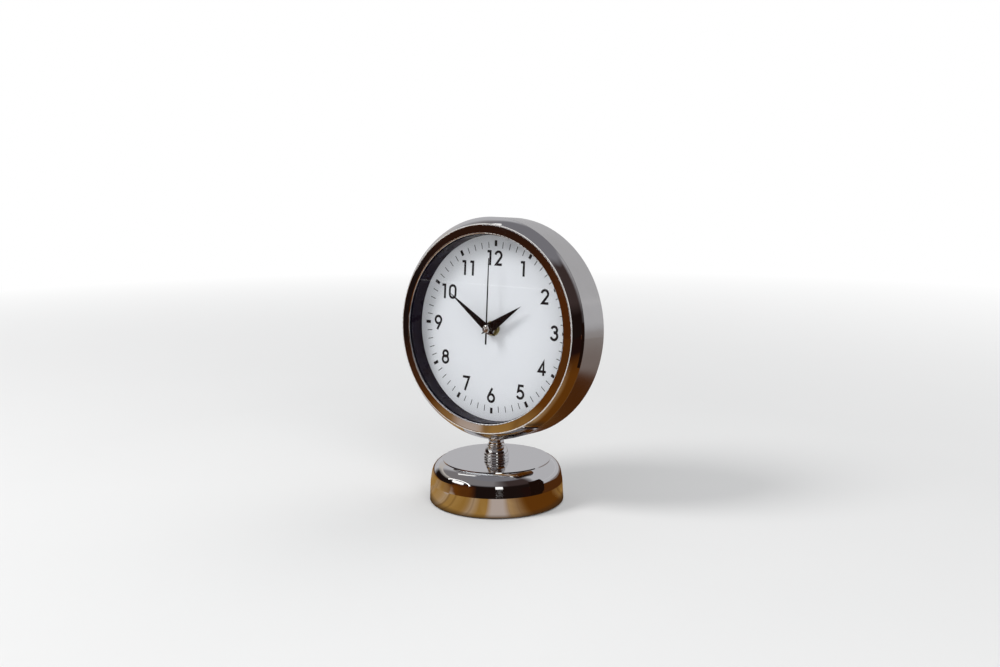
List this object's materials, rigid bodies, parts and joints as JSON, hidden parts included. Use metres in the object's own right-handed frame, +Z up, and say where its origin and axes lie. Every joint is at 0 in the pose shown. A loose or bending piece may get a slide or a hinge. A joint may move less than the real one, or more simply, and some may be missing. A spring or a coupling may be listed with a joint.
{
  "type": "desk clock",
  "caption": "Round chrome desk clock: deep drum tipped back on a short turned stem and a weighted round base, with dial, hands and a geared quartz movement inside.",
  "frame": {"origin": "centre of the base's underside, on the table", "axes": "+Z up, -Y towards the reader of the dial, +X to the reader's right"},
  "size_m": [0.1456, 0.09, 0.1893],
  "materials": {
    "chrome_plate": "mirror-bright chrome plate, fine scuffs",
    "satin_silver": "satin silver plate, smooth",
    "front_glass": "clear flat glass",
    "gasket_rubber": "soft black rubber",
    "well_moulding": "glossy blue-black moulding",
    "dial_paint": "cool off-white matt paint on a metal disc",
    "hand_black": "satin black paint on thin metal",
    "bright_metal": "small bright nickel-plated turnings",
    "olive_brass": "dull yellow-green brass",
    "zinc_steel": "zinc-plated steel fasteners",
    "iron_ballast": "rough cast iron",
    "felt_pad": "dark felt",
    "black_moulding": "black moulded plastic, fine grain",
    "white_acetal": "white acetal, smooth",
    "amber_acetal": "amber acetal, smooth",
    "board_green": "green circuit board",
    "winding_copper": "enamelled copper wire",
    "soft_iron": "bare soft iron plate",
    "magnet_grey": "grey sintered magnet",
    "cell_sleeve": "plain dark sleeve with a bright button end"
  },
  "bodies": {
    "clock_body": {"base_shell": "chrome_plate", "base_weight": "iron_ballast", "base_pad": "felt_pad", "base_washer": "zinc_steel", "base_nut": "zinc_steel", "stem_stud": "zinc_steel", "stem_collar": "chrome_plate", "case_saddle": "zinc_steel", "case_washer": "zinc_steel", "case_nut": "zinc_steel", "case_drum": "satin_silver", "bezel_ring": "chrome_plate", "lens_gasket": "gasket_rubber", "lens": "front_glass", "dial_well": "well_moulding", "dial_plate": "dial_paint", "dial_screws": "zinc_steel", "back_cover": "black_moulding", "back_screws": "zinc_steel", "movement_case": "black_moulding", "movement_cover": "black_moulding", "middle_plate": "white_acetal", "movement_bush": "olive_brass", "movement_nut": "olive_brass", "dial_washer": "olive_brass", "stator": "soft_iron", "coil_core": "soft_iron", "coil_bobbin": "black_moulding", "coil_winding": "winding_copper", "circuit_board": "board_green", "crystal_can": "bright_metal", "chip_blob": "black_moulding", "contact_minus": "bright_metal", "contact_plus": "bright_metal", "battery_cell": "cell_sleeve"},
    "seconds_group": {"seconds_wheel": "amber_acetal", "seconds_arbor": "zinc_steel", "second_hand": "hand_black", "second_cap": "bright_metal"},
    "idler_group": {"idler_wheel": "white_acetal"},
    "rotor_group": {"rotor_shaft": "white_acetal", "rotor_magnet": "magnet_grey"},
    "third_group": {"third_wheel": "white_acetal"},
    "centre_group": {"centre_wheel": "amber_acetal"},
    "minute_group": {"cannon_pinion": "olive_brass", "clutch_spring": "zinc_steel", "minute_hand": "hand_black", "minute_collet": "bright_metal"},
    "setting_group": {"minute_wheel": "white_acetal", "set_knob": "black_moulding"},
    "hour_group": {"hour_wheel": "white_acetal", "hour_hand": "hand_black", "hour_collet": "bright_metal"}
  },
  "joints": [
    {"name": "second_hand_turn", "type": "hinge", "parent": "clock_body", "child": "seconds_group", "pos_m": [0, -0.0018, 0.1162], "axis": [0, 0.9976, -0.0698], "continuous": true},
    {"name": "idler_turn", "type": "hinge", "parent": "clock_body", "child": "idler_group", "pos_m": [0.00789, -0.002, 0.11333], "axis": [0, 0.9976, -0.0698], "continuous": true},
    {"name": "rotor_turn", "type": "hinge", "parent": "clock_body", "child": "rotor_group", "pos_m": [0.015, -0.00177, 0.11664], "axis": [0, 0.9976, -0.0698], "continuous": true},
    {"name": "third_wheel_turn", "type": "hinge", "parent": "clock_body", "child": "third_group", "pos_m": [-0.0108, -0.0018, 0.1162], "axis": [0, 0.9976, -0.0698], "continuous": true},
    {"name": "centre_wheel_turn", "type": "hinge", "parent": "clock_body", "child": "centre_group", "pos_m": [0, -0.0018, 0.1162], "axis": [0, 0.9976, -0.0698], "continuous": true},
    {"name": "minute_hand_turn", "type": "hinge", "parent": "clock_body", "child": "minute_group", "pos_m": [0, -0.0018, 0.1162], "axis": [0, 0.9976, -0.0698], "continuous": true},
    {"name": "set_knob_turn", "type": "hinge", "parent": "clock_body", "child": "setting_group", "pos_m": [0.006, -0.00108, 0.12657], "axis": [0, 0.9976, -0.0698], "continuous": true},
    {"name": "hour_hand_turn", "type": "hinge", "parent": "clock_body", "child": "hour_group", "pos_m": [0, -0.0018, 0.1162], "axis": [0, 0.9976, -0.0698], "continuous": true}
  ],
  "couplings": [
    {"joint": "idler_turn", "follows": "second_hand_turn", "ratio": -5},
    {"joint": "rotor_turn", "follows": "second_hand_turn", "ratio": 30},
    {"joint": "third_wheel_turn", "follows": "second_hand_turn", "ratio": -0.13333},
    {"joint": "centre_wheel_turn", "follows": "second_hand_turn", "ratio": 0.016667},
    {"joint": "set_knob_turn", "follows": "minute_hand_turn", "ratio": -0.33333},
    {"joint": "hour_hand_turn", "follows": "minute_hand_turn", "ratio": 0.083333}
  ]
}
